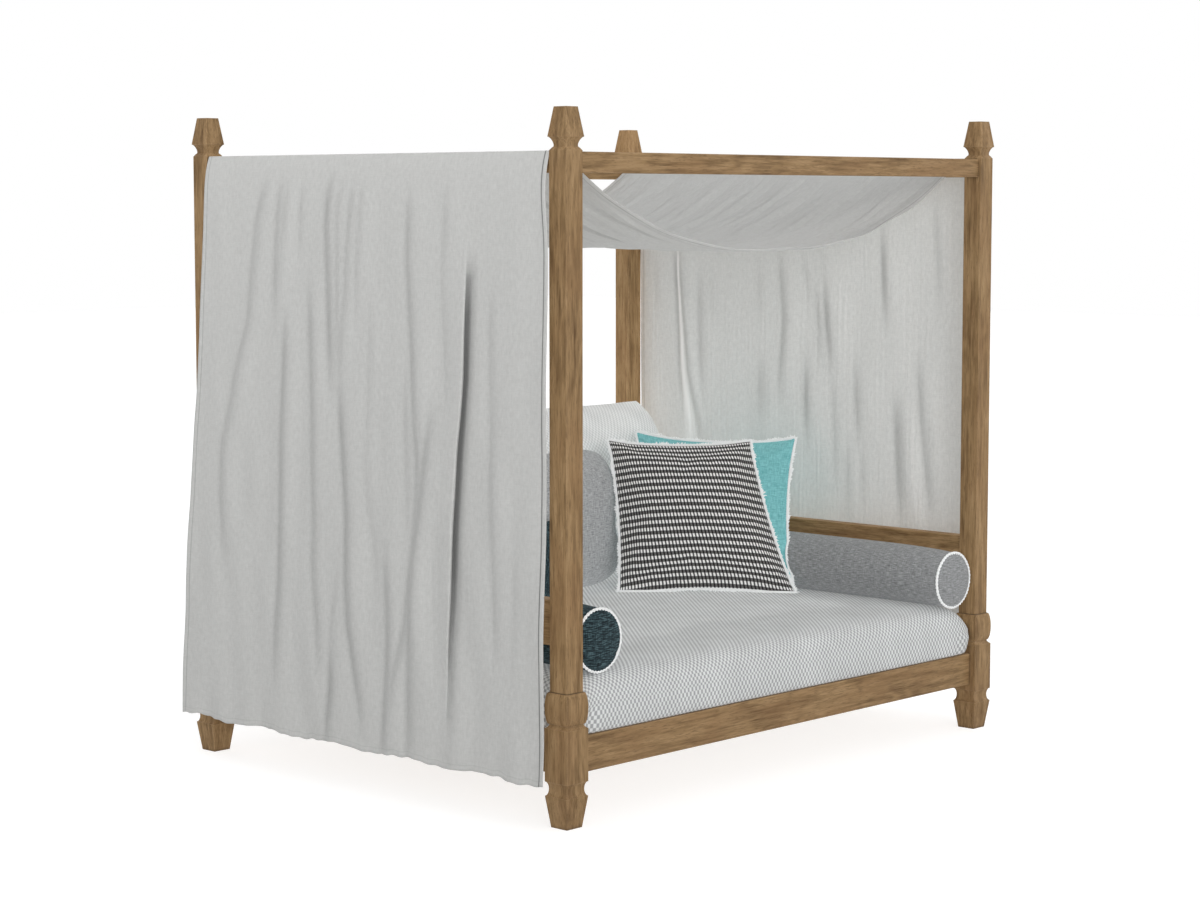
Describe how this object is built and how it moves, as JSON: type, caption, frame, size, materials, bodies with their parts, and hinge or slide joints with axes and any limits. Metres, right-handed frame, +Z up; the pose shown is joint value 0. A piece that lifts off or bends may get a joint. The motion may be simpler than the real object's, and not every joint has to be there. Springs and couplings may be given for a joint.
{
  "type": "outdoor daybed with canopy",
  "caption": "Wooden four-poster outdoor daybed with a sagging cloth canopy, side curtains, a box mattress, side bolsters and loose pillows.",
  "frame": {"origin": "on the floor, midway between the four legs", "axes": "+Z up; +X to the right along the open front, as seen by someone who faces the seat; +Y from the front to the back cushion"},
  "size_m": [2.2625, 1.7476, 2.1],
  "materials": {
    "timber": "oiled matte",
    "linen": "plain weave",
    "lattice_cloth": "basket weave",
    "grey_cloth": "heather",
    "navy_cloth": "heather",
    "check_cloth": "woven check",
    "teal_cloth": "plain weave",
    "stud_steel": "plain"
  },
  "bodies": {
    "root": {"back_cushion": "lattice_cloth", "bolster_left": "navy_cloth", "bolster_right": "grey_cloth", "bottom_rail_back": "timber", "bottom_rail_front": "timber", "bottom_rail_left": "timber", "bottom_rail_right": "timber", "canopy": "linen", "centre_beam": "timber", "check_pillow": "check_cloth", "curtain_left": "linen", "curtain_right": "linen", "grey_cushion": "grey_cloth", "ledger_back": "timber", "ledger_front": "timber", "leg_back_left": "timber", "leg_back_right": "timber", "leg_front_left": "timber", "leg_front_right": "timber", "mattress": "lattice_cloth", "mid_rail_back": "timber", "mid_rail_left": "timber", "mid_rail_right": "timber", "navy_pillow": "navy_cloth", "peg_back_left_long": "timber", "peg_back_left_side": "timber", "peg_back_right_long": "timber", "peg_back_right_side": "timber", "peg_front_left_long": "timber", "peg_front_left_side": "timber", "peg_front_right_long": "timber", "peg_front_right_side": "timber", "post_back_left": "timber", "post_back_right": "timber", "post_front_left": "timber", "post_front_right": "timber", "slat_1": "timber", "slat_10": "timber", "slat_11": "timber", "slat_12": "timber", "slat_2": "timber", "slat_3": "timber", "slat_4": "timber", "slat_5": "timber", "slat_6": "timber", "slat_7": "timber", "slat_8": "timber", "slat_9": "timber", "stud_back_left": "stud_steel", "stud_back_right": "stud_steel", "stud_front_left": "stud_steel", "stud_front_right": "stud_steel", "teal_pillow": "teal_cloth", "top_rail_back": "timber", "top_rail_front": "timber", "top_rail_left": "timber", "top_rail_right": "timber"}
  },
  "joints": []
}
